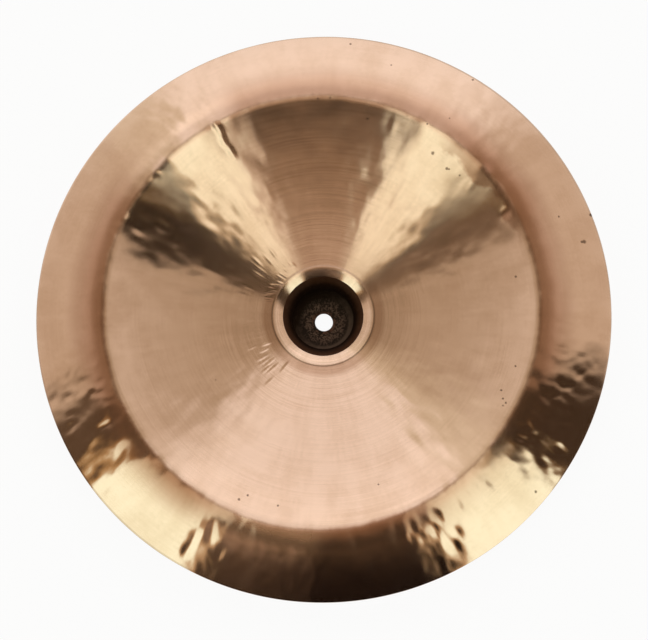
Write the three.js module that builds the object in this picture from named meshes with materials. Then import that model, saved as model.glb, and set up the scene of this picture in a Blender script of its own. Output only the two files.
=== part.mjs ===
// China cymbal: one sheet of cast bronze, forged, hammered and turned, with a square
// bell, a shallow bow and a rim that is turned back the other way.
// Millimetres, +Z up. The bell points down and the open side of the bow faces up.
// The origin is the centre of the mounting hole, on the outer face of the bell's crown.

import * as THREE from "three";

const DEGREE = Math.PI / 180;
const GOLDEN_ANGLE = Math.PI * (3 - Math.sqrt(5));

// Rim and mounting hole
const CYMBAL_DIAMETER = 406.4;
const HOLE_DIAMETER = 12.7;

// Sheet: thick in the bell, and turned thinner towards the rim
const BELL_THICKNESS = 1.5;
const RIM_THICKNESS = 0.7;

// Bell, on its inner face: a flat seat round the hole, a crown that rises a little to a
// tight corner, a nearly upright wall, and a wide rounding out to the turned land
const SEAT_WIDTH = 5;
const CROWN_WIDTH = 6;
const CROWN_RISE = 0.6;
const CROWN_CORNER_RADIUS = 4.5;
const BELL_DRAFT = 4 * DEGREE;
const BELL_DEPTH = 28;
const MOUTH_ROUNDING = 15;

// Turned groove that ends the land, and the foot of the bow, which rises gently from it
const GROOVE_WIDTH = 1.2;
const GROOVE_DEPTH = 0.15;
const FOOT_SLOPE = 1 * DEGREE;
const FOOT_WIDTH = 9;

// Bow: a long arc that steepens outwards
const BOW_START_SLOPE = 4.5 * DEGREE;
const BOW_END_SLOPE = 13.5 * DEGREE;

// Crest, where the sheet turns back over a tight arc, and the shoulder, a wider arc that
// leads down to the flange. The crest is beaten over by hand, a little to one side of the
// hole.
const FLANGE_WIDTH = 49.7;
const CREST_ROUNDING = 20;
const CREST_OFFSET = 1.8;
const SHOULDER_START_SLOPE = -4 * DEGREE;
const SHOULDER_ROUNDING = 55;
const FLANGE_START_SLOPE = -22 * DEGREE;
const FLANGE_END_SLOPE = -31 * DEGREE;

// Hammering: rings of blows from a round-faced hammer. Each leaves a shallow dish, and
// they stray from an even spacing and an even depth.
const BLOW_SPACING = 24;
const BLOW_REACH = 18;
const BLOW_DEPTH = 0.25;
const BLOW_STRAY_SHARE = 0.3;
const BLOW_STRENGTH_SHARE = 0.6;

// Facets of the skin
const FACET_LENGTH = 10.5;
const LEAST_FACETS_A_QUARTER = 8;
const CORNER_STEPS = 4;
const MOUTH_STEPS = 6;
const CREST_STEPS = 3;
const SHOULDER_STEPS = 3;

const HOLE_RADIUS = HOLE_DIAMETER / 2;
const RIM_RADIUS = CYMBAL_DIAMETER / 2;
const CREST_RADIUS = RIM_RADIUS - FLANGE_WIDTH;

// A walker that traces the concave face outwards from the hole. It stands at a radius and
// a height, heads along a slope, and leaves a station at each step.
function startWalk(radius, height) {
  const walk = { radius, height, slope: 0, stations: [] };
  leaveStation(walk);
  return walk;
}

function leaveStation(walk) {
  walk.stations.push({ radius: walk.radius, height: walk.height, slope: walk.slope });
}

// Straight on, until the radius has grown and the height has risen by these amounts.
function stepBy(walk, outwards, upwards) {
  walk.radius += outwards;
  walk.height += upwards;
  leaveStation(walk);
}

// Along a round arc of the given radius until the heading is endSlope.
function bendTo(walk, arcRadius, endSlope, steps) {
  const { radius, height, slope } = walk;
  const turn = Math.sign(endSlope - slope);
  for (let i = 1; i <= steps; i++) {
    walk.slope = slope + ((endSlope - slope) * i) / steps;
    walk.radius = radius + turn * arcRadius * (Math.sin(walk.slope) - Math.sin(slope));
    walk.height = height - turn * arcRadius * (Math.cos(walk.slope) - Math.cos(slope));
    leaveStation(walk);
  }
}

// Along the round arc that reaches endRadius with the heading endSlope.
function sweepTo(walk, endRadius, endSlope) {
  const across = endRadius - walk.radius;
  const arcRadius = Math.abs(across / (Math.sin(endSlope) - Math.sin(walk.slope)));
  bendTo(walk, arcRadius, endSlope, Math.max(1, Math.round(across / FACET_LENGTH)));
}

// Flat seat and crown, corner, wall and the rounding out to the land.
function walkBell(walk) {
  const floor = walk.height;
  const wallSlope = Math.PI / 2 - BELL_DRAFT;
  stepBy(walk, SEAT_WIDTH, 0);
  sweepTo(walk, walk.radius + CROWN_WIDTH, 2 * Math.atan(CROWN_RISE / CROWN_WIDTH));
  bendTo(walk, CROWN_CORNER_RADIUS, wallSlope, CORNER_STEPS);
  const mouthRise = MOUTH_ROUNDING * (1 - Math.cos(wallSlope));
  const wallHeight = floor + BELL_DEPTH - mouthRise - walk.height;
  stepBy(walk, wallHeight / Math.tan(wallSlope), wallHeight);
  bendTo(walk, MOUTH_ROUNDING, 0, MOUTH_STEPS);
}

// The narrow turned groove, then the foot of the bow.
function walkGrooveAndFoot(walk) {
  stepBy(walk, GROOVE_WIDTH / 2, -GROOVE_DEPTH);
  stepBy(walk, GROOVE_WIDTH / 2, GROOVE_DEPTH);
  walk.slope = FOOT_SLOPE;
  sweepTo(walk, walk.radius + FOOT_WIDTH, BOW_START_SLOPE);
}

// The bow, the crest where the sheet turns back, and the flange out to the rim.
function walkBowAndFlange(walk) {
  sweepTo(walk, CREST_RADIUS - CREST_ROUNDING * Math.sin(BOW_END_SLOPE), BOW_END_SLOPE);
  bendTo(walk, CREST_ROUNDING, SHOULDER_START_SLOPE, CREST_STEPS);
  bendTo(walk, SHOULDER_ROUNDING, FLANGE_START_SLOPE, SHOULDER_STEPS);
  sweepTo(walk, RIM_RADIUS, FLANGE_END_SLOPE);
}

// The station on the convex face that lies square across the sheet from this one. The
// sheet has one thickness in the bell, and an even taper from there to the rim.
function acrossTheSheet(station, landRadius) {
  const taper = THREE.MathUtils.inverseLerp(landRadius, RIM_RADIUS, station.radius);
  const share = THREE.MathUtils.clamp(taper, 0, 1);
  const thickness = THREE.MathUtils.lerp(BELL_THICKNESS, RIM_THICKNESS, share);
  return {
    radius: station.radius + thickness * Math.sin(station.slope),
    height: station.height - thickness * Math.cos(station.slope),
  };
}

// The places and depths of the hammer blows, ring after ring from the land to the rim.
function hammerBlows(landRadius) {
  const blows = [];
  for (let ring = landRadius + BLOW_SPACING; ring < RIM_RADIUS; ring += BLOW_SPACING) {
    const count = Math.round((2 * Math.PI * ring) / BLOW_SPACING);
    for (let i = 0; i < count; i++) {
      const swing = Math.sin(blows.length * GOLDEN_ANGLE);
      const angle = (2 * Math.PI * (i + BLOW_STRAY_SHARE * swing)) / count;
      const depth = BLOW_DEPTH * (1 - BLOW_STRENGTH_SHARE * swing * swing);
      blows.push({ x: ring * Math.cos(angle), y: ring * Math.sin(angle), depth });
    }
  }
  return blows;
}

// How deep the sheet is beaten down at a point: the dishes around it, added up.
function hammeredDepth(blows, x, y) {
  let depth = 0;
  for (const blow of blows) {
    const away = Math.hypot(x - blow.x, y - blow.y) / BLOW_REACH;
    if (away < 1) depth += blow.depth * (1 - away * away) ** 2;
  }
  return depth;
}

// A ring's points. Its centre drifts off the axis towards the crest and comes back to it
// at the rim, and the larger the ring, the more facets it has.
function ringPoints(station, landRadius, blows) {
  const { radius, height } = station;
  const quarter = (Math.PI / 2) * radius;
  const facets = Math.max(LEAST_FACETS_A_QUARTER, Math.round(quarter / FACET_LENGTH));
  const count = 4 * facets;
  const drift = THREE.MathUtils.smoothstep(radius, landRadius, CREST_RADIUS)
    * (1 - THREE.MathUtils.smoothstep(radius, CREST_RADIUS, RIM_RADIUS));
  const points = [];
  for (let i = 0; i < count; i++) {
    const angle = (2 * Math.PI * i) / count;
    const x = radius * Math.cos(angle) - CREST_OFFSET * drift;
    const y = radius * Math.sin(angle);
    points.push(new THREE.Vector3(x, y, height - hammeredDepth(blows, x, y)));
  }
  return points;
}

// The triangles between two neighbouring rings, which may have different counts.
function stitch(inner, outer, triangles) {
  let i = 0;
  let j = 0;
  while (i < inner.count || j < outer.count) {
    const a = inner.first + (i % inner.count);
    const b = outer.first + (j % outer.count);
    if ((i + 1) * outer.count <= (j + 1) * inner.count) {
      i++;
      triangles.push(a, b, inner.first + (i % inner.count));
    } else {
      j++;
      triangles.push(a, b, outer.first + (j % outer.count));
    }
  }
}

// The solid sheet: rings out along the concave face and back along the convex one, each
// stitched to the next, and the last to the first through the mounting hole.
function sheetGeometry() {
  const walk = startWalk(HOLE_RADIUS, BELL_THICKNESS);
  walkBell(walk);
  const landRadius = walk.radius;
  walkGrooveAndFoot(walk);
  walkBowAndFlange(walk);
  const convex = walk.stations.map((station) => acrossTheSheet(station, landRadius));
  const blows = hammerBlows(landRadius);
  const points = [];
  const rings = [...walk.stations, ...convex.reverse()].map((station) => {
    const ring = ringPoints(station, landRadius, blows);
    points.push(...ring);
    return { first: points.length - ring.length, count: ring.length };
  });
  const triangles = [];
  rings.forEach((ring, i) => stitch(ring, rings[(i + 1) % rings.length], triangles));
  const geometry = new THREE.BufferGeometry().setFromPoints(points);
  geometry.setIndex(triangles);
  geometry.computeVertexNormals();
  return geometry;
}

const bronze = new THREE.MeshStandardMaterial({
  color: 0xd9a878,
  roughness: 0.3,
  metalness: 1,
});

const cymbal = new THREE.Mesh(sheetGeometry(), bronze);
cymbal.name = "cymbal";

const part = new THREE.Group();
part.add(cymbal);

export default part;
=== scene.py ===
# China cymbal in a photographer's studio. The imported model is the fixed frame, and this
# script gives the bronze sheet its fine shape and its finishes.
# Metres, +Z up. The bell points down and the open side of the bow faces up.

import math

import bpy
import numpy as np
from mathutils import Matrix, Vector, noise


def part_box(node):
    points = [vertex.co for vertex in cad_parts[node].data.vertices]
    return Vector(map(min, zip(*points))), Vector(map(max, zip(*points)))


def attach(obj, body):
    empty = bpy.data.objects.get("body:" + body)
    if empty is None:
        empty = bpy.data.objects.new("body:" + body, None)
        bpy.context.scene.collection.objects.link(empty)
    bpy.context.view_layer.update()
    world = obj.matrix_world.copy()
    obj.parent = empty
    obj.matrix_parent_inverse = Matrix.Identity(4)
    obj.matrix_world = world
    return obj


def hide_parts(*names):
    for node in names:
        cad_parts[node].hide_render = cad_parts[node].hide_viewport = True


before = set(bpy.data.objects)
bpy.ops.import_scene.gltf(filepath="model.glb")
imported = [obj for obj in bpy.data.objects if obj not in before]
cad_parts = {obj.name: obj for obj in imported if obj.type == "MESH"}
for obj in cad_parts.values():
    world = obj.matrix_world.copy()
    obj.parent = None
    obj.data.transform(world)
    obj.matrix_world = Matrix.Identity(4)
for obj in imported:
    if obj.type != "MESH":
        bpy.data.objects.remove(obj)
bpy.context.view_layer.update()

# Turned section
# A china cymbal is one sheet of cast bell bronze. It is forged hot into a square bell, a
# shallow bow and a turned-back flange, and then turned thinner from the bell to the rim.

MM = 0.001
RIM_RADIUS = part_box("cymbal")[1].x
HOLE_RADIUS = 6.35 * MM
BELL_THICKNESS = 1.5 * MM
RIM_THICKNESS = 0.7 * MM
DEBURRING = 0.25 * MM

SEAT_WIDTH = 5 * MM
CROWN_WIDTH = 6 * MM
CROWN_RISE = 0.6 * MM
CROWN_CORNER_RADIUS = 4.5 * MM
WALL_SLOPE = math.radians(86)
BELL_DEPTH = 28 * MM
MOUTH_ROUNDING = 15 * MM
SKIN_EDGE_RADIUS = 28.5 * MM

GROOVE_WIDTH = 1.0 * MM
GROOVE_DEPTH = 0.004 * MM
LAND_SLOPE = math.radians(4.1)
FOOT_WIDTH = 9 * MM
BOW_START_SLOPE = math.radians(4.5)
BOW_END_SLOPE = math.radians(13.5)
CREST_RADIUS = RIM_RADIUS - 48.1 * MM
CREST_ROUNDING = 20 * MM
SHOULDER_SLOPE = math.radians(-4)
SHOULDER_ROUNDING = 55 * MM
FLANGE_START_SLOPE = math.radians(-22)
FLANGE_END_SLOPE = math.radians(-31)

BELL_STEP = 1.2 * MM
BOW_STEP = 2.2 * MM
FLANGE_STEP = 1.5 * MM


def bend(section, arc_radius, end_slope, step):
    """Carries the section on along a round arc until it heads along end_slope."""
    radius, height, slope = section[-1]
    turn = math.copysign(1, end_slope - slope)
    count = max(2, math.ceil(arc_radius * abs(end_slope - slope) / step))
    for heading in np.linspace(slope, end_slope, count + 1)[1:]:
        section.append((
            radius + turn * arc_radius * (math.sin(heading) - math.sin(slope)),
            height - turn * arc_radius * (math.cos(heading) - math.cos(slope)),
            heading,
        ))


def sweep(section, end_radius, end_slope, step):
    """Carries the section on along the round arc that ends at that radius and slope."""
    radius, _, slope = section[-1]
    across = end_radius - radius
    bend(section, abs(across / (math.sin(end_slope) - math.sin(slope))), end_slope, step)


def straight(section, outwards, upwards, count):
    """Carries the section on in a straight line."""
    radius, height, slope = section[-1]
    for share in np.linspace(0, 1, count + 1)[1:]:
        section.append((radius + share * outwards, height + share * upwards, slope))


# The concave face, from the hole outwards, as radius, height and slope
section = [(HOLE_RADIUS + DEBURRING, BELL_THICKNESS, 0.0)]
straight(section, SEAT_WIDTH - DEBURRING, 0, 4)
sweep(section, section[-1][0] + CROWN_WIDTH, 2 * math.atan(CROWN_RISE / CROWN_WIDTH), BELL_STEP)
bend(section, CROWN_CORNER_RADIUS, WALL_SLOPE, BELL_STEP / 2)
mouth_height = BELL_THICKNESS + BELL_DEPTH
wall_height = mouth_height - MOUTH_ROUNDING * (1 - math.cos(WALL_SLOPE)) - section[-1][1]
straight(section, wall_height / math.tan(WALL_SLOPE), wall_height, 8)
land_radius = section[-1][0] + MOUTH_ROUNDING * math.sin(WALL_SLOPE)
skin_edge_slope = math.asin((land_radius - SKIN_EDGE_RADIUS) / MOUTH_ROUNDING)
bend(section, MOUTH_ROUNDING, skin_edge_slope, BELL_STEP)
skin_edge_station = len(section) - 1
bend(section, MOUTH_ROUNDING, LAND_SLOPE, BELL_STEP / 2)
straight(section, GROOVE_WIDTH / 2, -GROOVE_DEPTH, 2)
straight(section, GROOVE_WIDTH / 2, GROOVE_DEPTH, 2)
groove_radius = section[-1][0]
sweep(section, section[-1][0] + FOOT_WIDTH, BOW_START_SLOPE, BELL_STEP)
sweep(section, CREST_RADIUS - CREST_ROUNDING * math.sin(BOW_END_SLOPE), BOW_END_SLOPE, BOW_STEP)
bend(section, CREST_ROUNDING, SHOULDER_SLOPE, FLANGE_STEP / 2)
bend(section, SHOULDER_ROUNDING, FLANGE_START_SLOPE, FLANGE_STEP)
rim_edge_radius = RIM_RADIUS - RIM_THICKNESS / 2 * (1 + math.sin(FLANGE_END_SLOPE))
sweep(section, rim_edge_radius, FLANGE_END_SLOPE, FLANGE_STEP)


def across_the_sheet(station, share=1.0):
    """The point that lies square across the sheet from a station, at a share of its thickness."""
    radius, height, slope = station
    taper = np.clip((radius - land_radius) / (RIM_RADIUS - land_radius), 0, 1)
    thickness = share * (BELL_THICKNESS + taper * (RIM_THICKNESS - BELL_THICKNESS))
    return radius + thickness * math.sin(slope), height - thickness * math.cos(slope)


# Both faces and both edges in one closed run of rings: the concave face outwards, the
# rounded rim, the convex face inwards with half as many rings, and the deburred hole
rings = [station[:2] for station in section]
skin_rings = set(range(skin_edge_station))
rim_middle = across_the_sheet(section[-1], 0.5)
for turned in np.radians([60, 30, 0, -30, -60]):
    heading = FLANGE_END_SLOPE + turned
    rings.append((
        rim_middle[0] + RIM_THICKNESS / 2 * math.cos(heading),
        rim_middle[1] + RIM_THICKNESS / 2 * math.sin(heading),
    ))
convex_start = len(rings)
for number in [len(section) - 1, *range(len(section) - 3, 1, -2), 0]:
    if number <= skin_edge_station:
        skin_rings.add(len(rings))
    rings.append(across_the_sheet(section[number]))
for inset, rise in [(0.3, 0.3), (0, 1), (0, 3), (0, 5), (0.3, 5.7)]:
    skin_rings.add(len(rings))
    rings.append((HOLE_RADIUS + inset * DEBURRING, rise * DEBURRING))


# Hammered surface
# After forging, the sheet is trued cold with a hammer until it is nearly even. Soft lumps
# are left all over, dents on the flange, and fine folds where the bow meets the bell.

CREST_OFFSET = (-1.8 * MM, 0.4 * MM)
CREST_OUT_OF_ROUND = 0.7 * MM
CREST_FLAT = 2.2 * MM
CREST_FLAT_BEARING = -42
BELL_OFFSET = (-0.55 * MM, -0.2 * MM)
RIM_OUT_OF_ROUND = 0.6 * MM

# Soft lumps: the higher around is, the shorter they are along the ring
BOW_LUMPS = {"around": 6.0, "length": 30 * MM, "height": 0.095 * MM, "octaves": 2}
BOW_RIPPLES = {"around": 9.0, "length": 13 * MM, "height": 0.050 * MM, "octaves": 2}
FLANGE_LUMPS = {"around": 13.0, "length": 22 * MM, "height": 0.20 * MM, "octaves": 4}
CALM_BEARING = 134
CALM_SHARE = 0.25

# Scattered blows: where they fall, how far they reach and how deep they go
BOW_BLOWS = 60
BOW_BLOW_RADII = (60 * MM, 146 * MM)
BOW_BLOW_REACH = (6 * MM, 14 * MM)
BOW_BLOW_DEPTH = (0.01 * MM, 0.05 * MM)
CREST_BLOWS = 110
CREST_BLOW_STRAY = 4 * MM
CREST_BLOW_REACH = (7 * MM, 14 * MM)
CREST_BLOW_DEPTH = (0.02 * MM, 0.08 * MM)
FLANGE_BLOWS = 170
FLANGE_BLOW_RADII = (164 * MM, 202 * MM)
FLANGE_BLOW_REACH = (3.5 * MM, 8 * MM)
FLANGE_BLOW_DEPTH = (0.02 * MM, 0.12 * MM)
DENTED_BEARINGS = (203, 340)
DENTED_STRAY = 7
DENTS = 24
DENT_RADII = (164 * MM, 201 * MM)
DENT_REACH = (2.6 * MM, 5 * MM)
DENT_DEPTH = (0.05 * MM, 0.17 * MM)

# Rows of folds beside the bell: first and last bearing and spacing in degrees, then radius,
# reach and depth in millimetres, how many times longer than wide, and their lean
FOLD_ROWS = [
    (119, 168, 2.7, 41.0, 1.0, 0.034, 3.6, 0.42),
    (129, 168, 5.0, 57.0, 1.7, 0.024, 4.5, -0.08),
    (170, 204, 4.0, 51.0, 1.2, 0.016, 4.0, -0.15),
    (204, 236, 3.0, 53.5, 1.4, 0.085, 3.6, -0.16),
]

# Marks that stand out in the photograph: bearing in degrees, then radius, reach and depth in
# millimetres, how many times longer than wide, and how far they lean off the radius
UPPER_LEFT_MARKS = [
    (119.6, 152, 3.4, 0.200, 2.0, 0.2), (120, 143, 3.2, 0.180, 2.4, -0.15),
    (119.6, 133, 3.2, 0.140, 2.4, 0.0), (137, 118, 5.0, 0.055, 2.2, 0.1),
    (140, 153, 3.2, 0.080, 1.3, 0.6), (151.6, 129, 6.0, 0.075, 1.8, 0.0),
    (156, 143, 4.0, 0.080, 1.5, -0.4), (143, 100, 5.0, 0.040, 2.0, 0.1),
    (114, 96, 3.5, 0.030, 3.0, 0.0), (123, 196, 4.0, 0.100, 1.5, 0.5),
    (124, 186, 3.5, 0.080, 2.0, -0.4), (122, 174, 4.0, 0.100, 2.0, 0.3),
    (126, 180, 3.0, 0.070, 1.5, 0.9),
]
UPPER_RIGHT_MARKS = [
    (41, 139, 3.0, 0.050, 2.5, 0.3), (29, 146, 5.0, 0.150, 1.3, 0.8),
    (70, 143, 4.0, 0.050, 2.0, 0.1), (56.5, 199, 3.0, 0.080, 1.5, 0.8),
    (53, 190, 4.0, 0.080, 1.6, -0.6),
]
LOWER_LEFT_MARKS = [
    (215, 118, 7.0, 0.060, 2.4, 0.2), (221, 96, 6.0, 0.050, 2.4, -0.2),
    (240.5, 181, 5.0, 0.200, 2.0, 0.1), (243, 172, 4.0, 0.110, 2.6, 0.2),
    (240.5, 192, 4.6, 0.200, 1.8, -0.1), (247, 184, 4.0, 0.110, 2.4, 0.0),
]
LOWER_RIGHT_MARKS = [
    (304, 112, 6.0, 0.050, 2.0, 0.2), (311, 128, 5.0, 0.045, 2.4, -0.1),
    (298.5, 165, 5.0, 0.210, 1.8, 0.2), (300.5, 181, 5.0, 0.200, 1.8, 0.3),
    (292, 166, 3.5, 0.120, 2.6, 0.1), (296.5, 174, 4.0, 0.180, 2.2, -0.1),
    (298.6, 188, 6.5, 0.300, 1.8, 0.1),
]

chance = np.random.default_rng(24)


def smooth(low, high, value):
    """0 below low and 1 above high, with a soft step between them."""
    share = np.clip((value - low) / (high - low), 0, 1)
    return share * share * (3 - 2 * share)


def ring_of_facets(radius, coarse):
    """How many facets a ring has. Neighbouring rings differ only at a few radii."""
    count = 192 if radius < 30 * MM else 512 if radius < 110 * MM else 640
    return count // 2 if coarse else count


def crest_wander(angle):
    """How far out the crest strays from its circle: a little oval, with one flat stretch."""
    off_flat = abs((np.degrees(angle) - CREST_FLAT_BEARING + 180) % 360 - 180)
    return -CREST_OUT_OF_ROUND * np.cos(2 * angle) - CREST_FLAT * (1 - smooth(5, 45, off_flat))


points = []
ring_starts = []
ring_counts = []
for number, (radius, height) in enumerate(rings):
    count = ring_of_facets(radius, number > convex_start)
    angle = np.arange(count) * 2 * math.pi / count
    to_rim = smooth(CREST_RADIUS, RIM_RADIUS, radius)
    to_crest = smooth(groove_radius, CREST_RADIUS, radius) * (1 - to_rim)
    off_bell = smooth(groove_radius + 2 * MM, groove_radius + 14 * MM, radius)
    to_bell = smooth(15 * MM, 24 * MM, radius) * (1 - off_bell)
    ring_starts.append(sum(ring_counts))
    ring_counts.append(count)
    radius = radius + RIM_OUT_OF_ROUND * to_rim * np.sin(2 * angle) + to_crest * crest_wander(angle)
    points.append(np.stack([
        radius * np.cos(angle) + CREST_OFFSET[0] * to_crest + BELL_OFFSET[0] * to_bell,
        radius * np.sin(angle) + CREST_OFFSET[1] * to_crest + BELL_OFFSET[1] * to_bell,
        np.full(count, height),
    ], axis=1))
points = np.concatenate(points)


def lumpy(around, length, height, octaves):
    """Uneven height all over the sheet: lumps drawn out along the radius, with finer ones on
    top of them."""
    away = np.hypot(points[:, 0], points[:, 1])
    across, beyond = points[:, 0] / away * around, points[:, 1] / away * around
    places = np.stack([across, beyond, away / length], axis=1)
    return height * np.array([noise.fractal(place, 1.0, 2.0, octaves) for place in places.tolist()])


def beat(angle, radius, reach, depth, stretch, lean=0.0):
    """One hammer mark: a shallow dish, longer by a factor of stretch along a line that leans
    away from the radius."""
    from_x = points[:, 0] - radius * math.cos(angle)
    from_y = points[:, 1] - radius * math.sin(angle)
    along = from_x * math.cos(angle + lean) + from_y * math.sin(angle + lean)
    aside = from_y * math.cos(angle + lean) - from_x * math.sin(angle + lean)
    away = (along / (reach * stretch)) ** 2 + (aside / reach) ** 2
    points[:, 2] -= depth * np.clip(1 - away, 0, 1) ** 2


distance = np.hypot(points[:, 0], points[:, 1])
off_calm = abs(np.degrees(np.arctan2(points[:, 1], points[:, 0])) - CALM_BEARING)
calm = 1 - CALM_SHARE * (1 - smooth(8, 25, off_calm))
on_the_flange = smooth(CREST_RADIUS, CREST_RADIUS + 14 * MM, distance)
lumped_bow = smooth(42 * MM, 130 * MM, distance) * (1 - on_the_flange)
rippled_bow = smooth(50 * MM, 90 * MM, distance) * (1 - on_the_flange)
points[:, 2] += lumpy(**BOW_LUMPS) * lumped_bow * calm
points[:, 2] += lumpy(**BOW_RIPPLES) * rippled_bow
points[:, 2] += lumpy(**FLANGE_LUMPS) * on_the_flange

for _ in range(BOW_BLOWS):
    beat(chance.uniform(0, 2 * math.pi),
         math.sqrt(chance.uniform(BOW_BLOW_RADII[0] ** 2, BOW_BLOW_RADII[1] ** 2)),
         chance.uniform(*BOW_BLOW_REACH), chance.uniform(*BOW_BLOW_DEPTH),
         chance.uniform(1, 2.4))
for _ in range(CREST_BLOWS):
    beat(chance.uniform(0, 2 * math.pi), CREST_RADIUS + chance.normal(0, CREST_BLOW_STRAY),
         chance.uniform(*CREST_BLOW_REACH), chance.uniform(*CREST_BLOW_DEPTH),
         chance.uniform(0.7, 1.3))
for _ in range(FLANGE_BLOWS):
    beat(chance.uniform(0, 2 * math.pi), chance.uniform(*FLANGE_BLOW_RADII),
         chance.uniform(*FLANGE_BLOW_REACH), chance.uniform(*FLANGE_BLOW_DEPTH),
         chance.uniform(1.2, 2.8), chance.normal(0, 0.35))
for first, last, spacing, row_radius, reach, depth, stretch, lean in FOLD_ROWS:
    for fold_bearing in np.arange(first, last, spacing):
        beat(math.radians(fold_bearing + chance.normal(0, 0.22) * spacing),
             row_radius * chance.normal(1, 0.05) * MM, reach * chance.uniform(0.75, 1.2) * MM,
             depth * chance.uniform(0.5, 1.4) * MM, stretch * chance.uniform(0.75, 1.25),
             lean + chance.normal(0, 0.06))
for marks in (UPPER_LEFT_MARKS, UPPER_RIGHT_MARKS, LOWER_LEFT_MARKS, LOWER_RIGHT_MARKS):
    for mark_bearing, mark_radius, reach, depth, stretch, lean in marks:
        beat(math.radians(mark_bearing), mark_radius * MM, reach * MM, depth * MM, stretch, lean)
for side in DENTED_BEARINGS:
    for _ in range(DENTS):
        beat(math.radians(chance.normal(side, DENTED_STRAY)), chance.uniform(*DENT_RADII),
             chance.uniform(*DENT_REACH), chance.uniform(*DENT_DEPTH),
             chance.uniform(1.2, 3), chance.normal(0, 0.5))

faces = []
face_finishes = []
for number in range(len(rings)):
    following = (number + 1) % len(rings)
    first_a, count_a = ring_starts[number], ring_counts[number]
    first_b, count_b = ring_starts[following], ring_counts[following]
    if count_a == count_b:
        for i in range(count_a):
            j = (i + 1) % count_a
            faces.append((first_a + i, first_b + i, first_b + j, first_a + j))
    else:
        i = j = 0
        while i < count_a or j < count_b:
            a, b = first_a + i % count_a, first_b + j % count_b
            if (i + 1) * count_b <= (j + 1) * count_a:
                i += 1
                faces.append((a, b, first_a + i % count_a))
            else:
                j += 1
                faces.append((a, b, first_b + j % count_b))
    finish = 1 if number in skin_rings or following in skin_rings else 0
    face_finishes += [finish] * (len(faces) - len(face_finishes))

mesh = bpy.data.meshes.new("hammered_sheet")
mesh.from_pydata(points.tolist(), [], faces)
mesh.polygons.foreach_set("material_index", face_finishes)
mesh.polygons.foreach_set("use_smooth", [True] * len(faces))
# Which side of the crest each point lies on, for its tarnish and painted shade: 0 inside and 1
# outside
sides = mesh.attributes.new("crest_side", "FLOAT", "POINT")
sides.data.foreach_set("value", np.concatenate([
    np.full(count, smooth(CREST_RADIUS - 6 * MM, CREST_RADIUS + 4 * MM, ring[0]))
    for ring, count in zip(rings, ring_counts)]))
mesh.update()
sheet = bpy.data.objects.new("hammered_sheet", mesh)
bpy.context.scene.collection.objects.link(sheet)
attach(sheet, "root")
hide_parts("cymbal")


# Turned bronze
# Bell bronze, turned on a lathe and polished. The tool's fine rings draw out its gloss.
# It has casting pits, tarnish and painted shade beyond the crest, and painted shade at the foot,
# both weaker in places.

TOOL_RING_SPACING = 0.9 * MM
TOOL_RING_HEIGHT = 0.0004 * MM
GRAIN_HEIGHT = 0.012 * MM
BRONZE = (0.84, 0.61, 0.46, 1)
TARNISHED_BRONZE = (0.62, 0.41, 0.27, 1)
# The colour beyond the crest is partly tarnish and partly painted shade.
CREST_TARNISH_AND_SHADE = (0.46, 0.295, 0.215, 1)
TARNISH_FILM = (0.45, 0.24, 0.13, 1)
# Where the crest's tarnish and painted shade reach further in, and where they are weaker
STAIN_AND_SHADE_BEARING = math.radians(38)
LESS_DARKENED_BEARINGS = [math.radians(255), math.radians(312), math.radians(131)]
# This tint is painted shade at the foot of the bow.
FOOT_SHADE = (0.72, 0.64, 0.58, 1)
# This brown colours the pits and the rim's line, and paints shade in the groove.
PIT_AND_SHADE_BROWN = (0.16, 0.10, 0.065, 1)
# Casting pits that the photograph shows: how far right of the hole and behind it, and their
# size, in millimetres
PITS = [
    (127, -65, 1.3), (125, -62, 1.1), (125, -67, 1.1), (124, -56, 1.2), (135, 25, 1.3),
    (134, -39, 1.1), (77, 114, 1.9), (87, 103, 1.6), (88.5, 102.5, 1.0), (-59, -133, 1.5),
    (-53, -130, 1.1), (-32, -137, 1.2), (19, 197, 1.3), (31, 139, 1.1), (189.5, 72.5, 1.8),
    (148, -126, 1.4), (96, 98, 0.9), (48, 180, 1.0), (89, 139, 1.0), (73, 134.5, 0.9),
    (166, 69, 1.1), (106.5, 171, 1.4), (184, 52, 2.2), (182.5, 51.6, 1.6), (-4.2, 153, 1.1),
    (4.4, 153.5, 0.9), (-76, -47, 0.8), (-104, 62, 0.8), (38, -122, 0.8),
]


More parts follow.
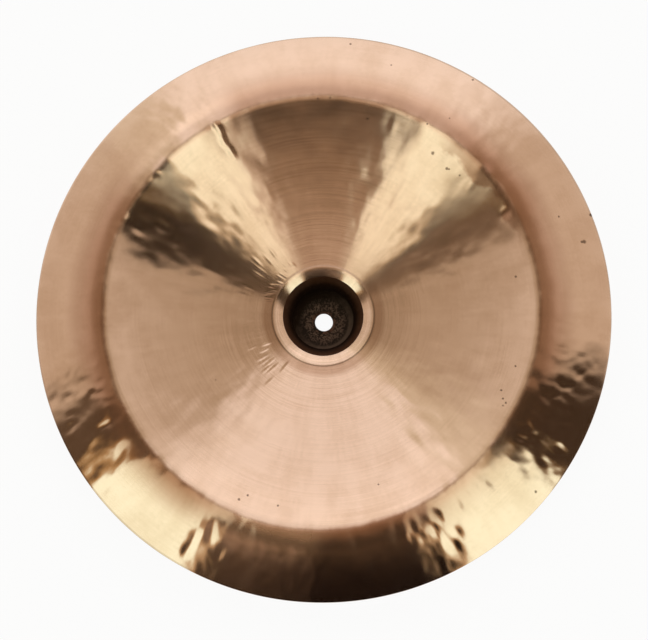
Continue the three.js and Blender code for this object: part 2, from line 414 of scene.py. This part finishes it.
class Signal:
    """One output of a shader's node, for sums that are written as plain expressions."""

    def __init__(self, tree, socket=None):
        self.tree = tree
        self.socket = socket

    def node(self, kind, settings=None, inputs=None, output=0):
        """A new node: first its settings, then the values or links of its sockets."""
        made = self.tree.nodes.new("ShaderNode" + kind)
        for name, value in (settings or {}).items():
            setattr(made, name, value)
        for name, value in (inputs or {}).items():
            if isinstance(value, Signal):
                self.tree.links.new(value.socket, made.inputs[name])
            else:
                made.inputs[name].default_value = value
        return Signal(self.tree, made.outputs[output] if made.outputs else None)

    def math(self, operation, *values):
        return self.node("Math", {"operation": operation}, dict(enumerate(values)))

    def __add__(self, other):
        return self.math("ADD", self, other)

    def __radd__(self, other):
        return self.math("ADD", other, self)

    def __sub__(self, other):
        return self.math("SUBTRACT", self, other)

    def __rsub__(self, other):
        return self.math("SUBTRACT", other, self)

    def __mul__(self, other):
        return self.math("MULTIPLY", self, other)

    def __rmul__(self, other):
        return self.math("MULTIPLY", other, self)

    def __truediv__(self, other):
        return self.math("DIVIDE", self, other)

    def __abs__(self):
        return self.math("ABSOLUTE", self)

    def step(self, low, high):
        """0 where this is below low and 1 where it is above high, with a soft step between."""
        return self.node("MapRange", {"interpolation_type": "SMOOTHSTEP"},
                         {"Value": self, "From Min": low, "From Max": high})

    def until(self, low, high):
        """1 where this is below low and 0 where it is above high, with a soft step between."""
        return 1 - self.step(low, high)

    def mix(self, where_0, where_1):
        """The first colour where this is 0, and the second where it is 1."""
        return self.node("Mix", {"data_type": "RGBA"}, {0: self, 6: where_0, 7: where_1}, 2)

    def tint(self, colour, veil):
        """The colour where this is 0, and the colour times the veil where it is 1."""
        settings = {"data_type": "RGBA", "blend_type": "MULTIPLY"}
        return self.node("Mix", settings, {0: self, 6: colour, 7: veil}, 2)

    def away_from(self, x, y):
        """How far this place is from the point x, y, when it comes without its height."""
        return self.node("VectorMath", {"operation": "DISTANCE"}, {0: self, 1: (x, y, 0)}, "Value")

    def towards(self, bearing):
        """1 where a heading is this bearing, 0 where it is square to it, and -1 behind."""
        ahead = (math.cos(bearing), math.sin(bearing), 0)
        return self.node("VectorMath", {"operation": "DOT_PRODUCT"}, {0: self, 1: ahead}, "Value")


def new_finish(name):
    """An empty material, and the start of its nodes."""
    material = bpy.data.materials.new(name)
    material.use_nodes = True
    material.node_tree.nodes.clear()
    return material, Signal(material.node_tree)


def seen_from_above(start):
    """A place on the sheet, the same without its height, its distance from the middle of the
    hole, and its heading from there."""
    place = start.node("TexCoord", output="Object")
    flat = start.node("VectorMath", {"operation": "MULTIPLY"}, {0: place, 1: (1, 1, 0)})
    radius = start.node("VectorMath", {"operation": "LENGTH"}, {0: flat}, "Value")
    heading = start.node("VectorMath", {"operation": "NORMALIZE"}, {0: flat})
    return place, flat, radius, heading


def ring_noise(radius, heading, spacing, detail, around=1.2):
    """Uneven rings round the hole, about this far apart. The higher around is, the sooner a
    ring changes along its own length."""
    turned = heading.node("VectorMath", {"operation": "SCALE"}, {0: heading, "Scale": around})
    outwards = radius.node("CombineXYZ", inputs={"Z": radius / spacing})
    spread = turned.node("VectorMath", {"operation": "ADD"}, {0: turned, 1: outwards})
    return spread.node("TexNoise", inputs={"Vector": spread, "Scale": 1.0, "Detail": detail,
                                           "Roughness": 0.7})


bronze, start = new_finish("turned_bronze")
place, flat, radius, heading = seen_from_above(start)
tool_rings = ring_noise(radius, heading, TOOL_RING_SPACING, 1.5)
rays = ring_noise(radius, heading, 70 * MM, 3.0, 9.0)
cloud = start.node("TexNoise", inputs={"Vector": place, "Scale": 38.0, "Detail": 4.0})
speckle = start.node("TexNoise", inputs={"Vector": place, "Scale": 420.0, "Detail": 2.0})
grain = start.node("TexNoise", inputs={"Vector": place, "Scale": 130.0, "Detail": 4.0})
crest_side = start.node("Attribute", {"attribute_name": "crest_side"}, output="Fac")
off_crest = flat.away_from(*CREST_OFFSET) - CREST_RADIUS
off_bell = flat.away_from(*BELL_OFFSET) - groove_radius
towards_right = heading.towards(0)
towards_back = heading.towards(math.pi / 2)

# Tarnish and painted shade beyond the crest: weaker at the back and at a few bearings, further in at
# one
stain_and_shade = heading.towards(STAIN_AND_SHADE_BEARING).step(0.93, 1)
less_darkened = start.node("Value")
for less_darkened_bearing in LESS_DARKENED_BEARINGS:
    less_darkened = less_darkened.math("MAXIMUM", less_darkened, heading.towards(less_darkened_bearing).step(0.93, 1))
outside_crest = (crest_side + (cloud - 0.5) * 0.7 + (rays - 0.5) * 0.5).step(0.2, 0.8)
stain_and_shade_inside = stain_and_shade * 0.8 * (off_crest + (cloud - 0.5) * (30 * MM)).step(-10 * MM, -6 * MM)
outside_crest = outside_crest.math("MAXIMUM", outside_crest, stain_and_shade_inside)
crest_tarnish_and_shade = outside_crest * (off_crest + (cloud - 0.5) * (10 * MM)).until(3 * MM, 28 * MM) \
    * (0.85 - towards_back.step(0, 1.2) * 0.3 + stain_and_shade * 0.2 - less_darkened * 0.6)

# A browner patch on the left of the front, just outside the crest
patina_side = towards_right.step(-0.52, -0.36) * towards_right.until(-0.08, 0.02) \
    * towards_back.until(-0.8, -0.7)
patina = patina_side * (off_crest + (cloud - 0.5) * (8 * MM)).step(0, 4 * MM) \
    * off_crest.until(4 * MM, 26 * MM)

# Painted shade at the foot of the bow and in the groove, weaker at the back, and the rim's dark line
less_at_back = 1 - towards_back.step(0.1, 0.75) * 0.85
foot_shade = off_bell.step(-0.6 * MM, 0) * off_bell.until(4 * MM, 9 * MM) * less_at_back
groove_shade = abs(off_bell + 0.4 * MM).until(0.3 * MM, 0.7 * MM) * less_at_back
rim_line = radius.step(RIM_RADIUS - 1.1 * MM, RIM_RADIUS - 0.3 * MM)

# Tool rings, which show most at the back and round the bell, and a mottled surface
ringed = towards_back.step(0.88, 0.96) * 1.15 + towards_back.until(-0.5, 0.35) * 0.25 \
    + radius.until(62 * MM, 82 * MM) * towards_back.until(0.3, 0.5) * 0.6
ring_shade = (tool_rings - 0.5) * ringed * (1 - outside_crest) * 1.3 + 0.15
mottled = (tool_rings * 0.25 + cloud * 0.55 + speckle * 0.2).step(0.42, 0.72)

pits = start.node("Value")
for x, y, size in PITS:
    ragged = flat.away_from(x * MM, y * MM) + (speckle - 0.5) * (1.2 * MM)
    pits = pits.math("MAXIMUM", pits, ragged.until(0.3 * size * MM, 0.9 * size * MM))

bump = start.node("Bump", inputs={
    "Strength": 1.0, "Distance": 1.0,
    "Height": tool_rings * TOOL_RING_HEIGHT + grain * GRAIN_HEIGHT})
colour = (mottled * 0.34 + ring_shade - 0.06).mix(BRONZE, TARNISHED_BRONZE)
colour = ((rays * 0.6 + cloud * 0.4).step(0.40, 0.64) * 0.28).mix(colour, TARNISHED_BRONZE)
colour = crest_tarnish_and_shade.tint(colour, CREST_TARNISH_AND_SHADE)
colour = (foot_shade * 0.9).tint(colour, FOOT_SHADE)
colour = (groove_shade * 0.5 + rim_line * 0.3 + pits * 0.85).mix(colour, PIT_AND_SHADE_BROWN)
duller_mouth = off_bell.until(-6 * MM, -1 * MM) * 0.08
gloss = start.node("BsdfPrincipled", inputs={
    "Base Color": colour,
    "Metallic": 1.0,
    "Roughness": 0.122 + tool_rings * 0.012 + cloud * 0.024 + duller_mouth,
    "Anisotropic": 1.0,
    "Anisotropic Rotation": 0.25,
    "Normal": bump,
})
film = start.node("BsdfDiffuse", inputs={"Color": TARNISH_FILM, "Normal": bump})
filmed = start.node("MixShader", inputs={0: crest_tarnish_and_shade * 0.14 + patina * 0.35, 1: gloss, 2: film})
start.node("OutputMaterial", inputs={"Surface": filmed})
mesh.materials.append(bronze)


# Forged skin
# The bell is left as it was forged. Inside and outside it keeps a black scale of oxide,
# worn to brown near its mouth and round the hole. Deep inside the bell, painted shade darkens it.

SCALE_RING_SPACING = 1.6 * MM
SCALE_BLACK = (0.0150, 0.0085, 0.0055, 1)
SCALE_BROWN = (0.046, 0.015, 0.005, 1)
WORN_SCALE = (0.26, 0.16, 0.115, 1)
RED_OXIDE = (0.30, 0.13, 0.08, 1)
# This tint is painted shade that darkens the scale deep inside the bell.
DEEP_SHADE = (0.75, 0.60, 0.50, 1)
# These corner colours are painted shade on one side of the crown's corner and painted light on the
# other.
SHADED_CORNER = (0.024, 0.013, 0.008, 1)
LIT_CORNER = (0.135, 0.090, 0.066, 1)
LIT_CORNER_BEARING = math.radians(-50)

skin, start = new_finish("forged_skin")
place, flat, radius, heading = seen_from_above(start)
scale_rings = ring_noise(radius, heading, SCALE_RING_SPACING, 4.0)
patches = start.node("TexNoise", inputs={"Vector": place, "Scale": 230.0, "Detail": 5.0,
                                         "Roughness": 0.65})
specks = start.node("TexNoise", inputs={"Vector": place, "Scale": 900.0, "Detail": 2.0})
height = start.node("SeparateXYZ", inputs={"Vector": place}, output="Z")

# Scale, brown in a band at the mouth, and worn through in specks near the hole
mouth_band = height.step(mouth_height - 9 * MM, mouth_height - 2 * MM) * (0.4 + scale_rings * 0.9)
bare = radius.step(7.5 * MM, 10.5 * MM) * radius.until(10.5 * MM, 18 * MM)
worn = (patches * 0.45 + specks * 0.55 + bare * 0.06).step(0.46, 0.68) \
    * (0.06 + height.until(4 * MM, 9 * MM) * 0.20 + bare * 0.36)
colour = worn.mix(mouth_band.mix(SCALE_BLACK, SCALE_BROWN), WORN_SCALE)
oxide = radius.until(7.5 * MM, 9.5 * MM) * patches.step(0.4, 0.6) * 0.35
colour = oxide.mix(colour, RED_OXIDE)

# Painted shade on the wall deep in the bell, and in the crown's corner painted light on one side and
# painted shade on the other
deep = radius.step(16 * MM, 18.5 * MM) * height.until(mouth_height - 8 * MM, mouth_height - 3 * MM)
low = radius.step(15 * MM, 18.5 * MM) * height.until(7 * MM, 17 * MM)
# Painted light towards one bearing of the corner, painted shade away from it
paler = (heading.towards(LIT_CORNER_BEARING) * 0.5 + 0.45 + (patches - 0.5) * 0.9).step(0, 1)
scale_with_painted_shade = low.mix(deep.tint(colour, DEEP_SHADE), paler.mix(SHADED_CORNER, LIT_CORNER))

bump = start.node("Bump", inputs={"Strength": 1.0, "Distance": 1.0,
                                  "Height": patches * 0.0003 + scale_rings * 0.0001})
dull = start.node("BsdfDiffuse", inputs={"Color": scale_with_painted_shade, "Normal": bump})
gloss = start.node("BsdfPrincipled", inputs={
    "Base Color": colour,
    "Metallic": 0.0,
    "Specular IOR Level": 0.16,
    "Specular Tint": (1.0, 0.72, 0.55, 1),
    "Roughness": 0.36 + patches * 0.25,
    "Normal": bump,
})
# The deep wall turns dull, and its colour carries the painted shade.
skin_with_painted_shade = start.node("MixShader", inputs={0: deep * 0.95, 1: gloss, 2: dull})
start.node("OutputMaterial", inputs={"Surface": skin_with_painted_shade})
mesh.materials.append(skin)


# Studio floor
# A wide sheet of pale paper under the cymbal, nearly white behind the metal and in it. It
# still takes the cymbal's shadow, and seen from below it is clear.

FLOOR_HALF_WIDTH = 20.0
FLOOR_CLEARANCE = 0.1 * MM
PAPER = (0.93, 0.93, 0.92, 1)

corners = [(-1, -1), (1, -1), (1, 1), (-1, 1)]
floor_mesh = bpy.data.meshes.new("floor")
floor_mesh.from_pydata(
    [(x * FLOOR_HALF_WIDTH, y * FLOOR_HALF_WIDTH, -FLOOR_CLEARANCE) for x, y in corners],
    [], [(0, 1, 2, 3)])
floor = bpy.data.objects.new("floor", floor_mesh)
bpy.context.scene.collection.objects.link(floor)

paper, start = new_finish("studio_paper")
seen = start.node("LightPath", output="Is Camera Ray") \
    + start.node("LightPath", output="Is Glossy Ray") \
    + start.node("LightPath", output="Is Transmission Ray")
lit = start.node("BsdfDiffuse", inputs={"Color": PAPER})
glow = start.node("Emission", inputs={"Color": (1, 1, 1, 1), "Strength": 1.0})
front = start.node("MixShader", inputs={0: seen.math("MINIMUM", seen, 1.0) * 0.93, 1: lit, 2: glow})
behind = start.node("NewGeometry", output="Backfacing")
clear = start.node("BsdfTransparent")
whole = start.node("MixShader", inputs={0: behind, 1: front, 2: clear})
start.node("OutputMaterial", inputs={"Surface": whole})
floor_mesh.materials.append(paper)


# Studio light
# A warm dim room round the cymbal, seen in the metal: a soft window of light behind it, a
# dark panel in front with a gold strip on either side, and black flags beside those.

CAMERA_TILT = math.radians(10.3)

WALL = (0.97, 0.96, 0.95, 1)
ROOM_ABOVE = (0.49, 0.40, 0.305, 1)
ROOM_BELOW = (0.575, 0.46, 0.345, 1)
WINDOW_ABOVE = (0.92, 0.87, 0.86, 1)
WINDOW_MIDDLE = (1.30, 1.25, 1.22, 1)
WINDOW_BELOW = (1.13, 1.09, 1.08, 1)
YELLOW_STRIP = (0.98, 0.96, 0.80, 1)
GOLD_ABOVE = (1.22, 1.20, 1.00, 1)
GOLD_BELOW = (1.27, 1.44, 1.24, 1)
GOLD_LOWEST = (1.28, 1.50, 1.32, 1)
GOLD_FRINGE = (0.55, 0.36, 0.16, 1)
PEACH_STRIP = (0.62, 0.44, 0.25, 1)
PALE_STRIP = (0.74, 0.62, 0.50, 1)
BLACK_FLAG = (0.016, 0.010, 0.005, 1)
LOW_FLAG = (0.055, 0.036, 0.022, 1)
BROWN_FLAG = (0.050, 0.032, 0.018, 1)
BROWN_FLAG_BELOW = (0.10, 0.066, 0.040, 1)
PALE_FLAG = (0.22, 0.16, 0.11, 1)
FRONT_HIGH = (0.80, 0.60, 0.45, 1)
FRONT_ABOVE = (0.30, 0.205, 0.125, 1)
FRONT_STRIP = (0.56, 0.38, 0.23, 1)
FRONT_MIDDLE = (0.015, 0.009, 0.004, 1)
FRONT_LOW = (0.090, 0.060, 0.036, 1)
FRONT_LOWEST = (0.006, 0.002, 0.001, 1)
BROWN_FRONT = (0.50, 0.36, 0.26, 1)
BROWN_LOWEST = (0.050, 0.032, 0.020, 1)
OVERHEAD_BAR = (0.24, 0.17, 0.11, 1)

world = bpy.data.worlds.new("studio")
world.use_nodes = True
world.node_tree.nodes.clear()
bpy.context.scene.world = world
start = Signal(world.node_tree)
direction = start.node("TexCoord", output="Generated")
turned = start.node("VectorRotate", {"rotation_type": "X_AXIS"},
                    {"Vector": direction, "Angle": CAMERA_TILT})
height = start.node("SeparateXYZ", inputs={"Vector": direction}, output="Z")
elevation = height.math("ARCSINE", height) * math.degrees(1)
across = start.node("SeparateXYZ", inputs={"Vector": turned}, output="X")
beyond = start.node("SeparateXYZ", inputs={"Vector": turned}, output="Y")
upward = start.node("SeparateXYZ", inputs={"Vector": turned}, output="Z")

# All in degrees: how far a direction leans off the one that level metal shows, its bearing
# to the right of the front, which is the camera's side, and how far it is to either side
leaning = upward.math("ARCCOSINE", upward) * math.degrees(1)
bearing = beyond.math("ARCTAN2", across, 0 - beyond) * math.degrees(1) - 2
aside = abs(bearing)
to_the_right = bearing.step(-5, 5)
to_the_left = 1 - to_the_right
# Lower down, everything stands further to the side
spread = leaning.step(20, 50)
drawn_in = aside - spread * 8


def downwards(top, *below):
    """A colour that changes on the way down: each later one takes over between two leanings."""
    colour = top
    for first, last, lower in below:
        colour = leaning.step(first, last).mix(colour, lower)
    return colour


def either_side(left, right):
    """A number that changes over from the left to the right at the front."""
    return start.node("Mix", {"data_type": "FLOAT"}, {0: to_the_right, 2: left, 3: right})


# The room, and the window behind the cymbal with a yellow strip at its left
window = downwards(WINDOW_ABOVE, (17, 26, WINDOW_MIDDLE), (34, 50, WINDOW_BELOW))
glow = leaning.step(19, 26) * drawn_in.step(60, 92) * 0.58 * (1 - spread * 0.72)
colour = glow.mix(downwards(ROOM_ABOVE, (18, 34, ROOM_BELOW)), window)
window_edge = drawn_in - to_the_left * 16
colour = (to_the_left * window_edge.step(100, 126) * 0.45).mix(colour, YELLOW_STRIP)
colour = window_edge.step(121 + to_the_right * 2, 131 + to_the_right * 14).mix(colour, window)
overhead = 1.35 - leaning.step(4, 17) * 0.35
colour = start.node("VectorMath", {"operation": "SCALE"}, {0: colour, "Scale": overhead})
colour = elevation.step(8, 18).mix(WALL, colour)

# The flags: black on the right, and brown on the left, paler away from the front
paler = drawn_in.step(54, 70) * (1 - spread * 0.72)
left_flag = paler.mix(downwards(BROWN_FLAG, (24, 32, BROWN_FLAG_BELOW)), PALE_FLAG)
flag = to_the_right.mix(left_flag, downwards(BLACK_FLAG, (27, 36, LOW_FLAG)))
flag_edge = drawn_in - to_the_right * leaning.step(46, 58) * 5
colour = flag_edge.until(68 - spread * 3, 73 + spread * 3).mix(colour, flag)

# The gold strips, each with a duller fringe
gold = downwards(GOLD_ABOVE, (13, 25, GOLD_BELOW), (40, 60, GOLD_LOWEST))
wider = either_side(
    leaning.step(17, 24) * 4.5 + leaning.step(23, 27) * 5 + leaning.step(27, 36) * 3,
    spread * 6.5 + leaning.step(44, 56) * 4 + leaning.step(22, 26) * 7.5
    - leaning.step(28, 36) * 5 - 2.6)
gold_edge = aside - wider
fringe_edge = gold_edge + to_the_right * leaning.step(27, 32) * 3
colour = fringe_edge.until(48, 54).mix(colour, GOLD_FRINGE)
colour = gold_edge.until(46, 48.5).mix(colour, gold)
colour = (to_the_right * aside.until(25, 29) * (1 - spread)).mix(colour, PALE_STRIP)

# The panel in front, browner on its left, with a peach edge lower down
browner = bearing.until(-6, -3.5) * (0.25 + (0 - bearing).step(4, 24) * 0.75)
front = downwards(
    FRONT_HIGH, (6, 12, FRONT_ABOVE), (14, 18, FRONT_STRIP), (17.6, 20, FRONT_MIDDLE),
    (31, 42, browner.mix(FRONT_LOW, BROWN_FRONT)),
    (42, 54, browner.mix(FRONT_LOWEST, BROWN_LOWEST)))
half_width = either_side(
    25 + leaning.step(22, 26) * 4 - leaning.step(28, 34) * 4 + spread * 4 + leaning.step(50, 60),
    21.5 + leaning.step(22, 26) * 8 - leaning.step(28, 34) * 5.5 + spread
    + leaning.step(50, 60) * 3.5)
front_edge = aside - half_width
colour = (front_edge.until(1.5, 5) * leaning.step(18, 30)).mix(colour, PEACH_STRIP)
colour = front_edge.until(-2, 2).mix(colour, front)

# A dark bar overhead, which level metal shows
bar = (abs(across) * math.degrees(1)).until(6, 9) * (abs(beyond) * math.degrees(1)).until(1.5, 4)
colour = bar.mix(colour, OVERHEAD_BAR)

# Behind the cymbal the picture itself shows only the pale wall
plain = start.node("LightPath", output="Is Camera Ray") \
    + start.node("LightPath", output="Is Transmission Ray")
colour = plain.math("MINIMUM", plain, 1.0).mix(colour, WALL)
background = start.node("Background", inputs={"Color": colour, "Strength": 1.0})
start.node("OutputWorld", inputs={"Surface": background})


# Camera
# It leans 10.3 degrees from the cymbal's axis and looks from far away. The hole is a
# little to the left of the picture's middle and below it.

CAMERA_DISTANCE = 2.5
PICTURE_PIXELS = 648
PIXEL_AT_HOLE = 0.71441 * MM
HOLE_LEFT_OF_MIDDLE = 0.05 * PIXEL_AT_HOLE
HOLE_BELOW_MIDDLE = 2.76 * PIXEL_AT_HOLE

lens = bpy.data.cameras.new("camera")
lens.sensor_width = 36
lens.lens = lens.sensor_width * CAMERA_DISTANCE / (PICTURE_PIXELS * PIXEL_AT_HOLE)
lens.clip_start = 0.1
lens.clip_end = 100
camera = bpy.data.objects.new("camera", lens)
camera.rotation_euler = (CAMERA_TILT, 0, 0)
camera.location = (
    HOLE_LEFT_OF_MIDDLE,
    -CAMERA_DISTANCE * math.sin(CAMERA_TILT) + HOLE_BELOW_MIDDLE * math.cos(CAMERA_TILT),
    CAMERA_DISTANCE * math.cos(CAMERA_TILT) + HOLE_BELOW_MIDDLE * math.sin(CAMERA_TILT),
)
bpy.context.scene.collection.objects.link(camera)
bpy.context.scene.camera = camera
bpy.context.scene.view_settings.view_transform = "Standard"
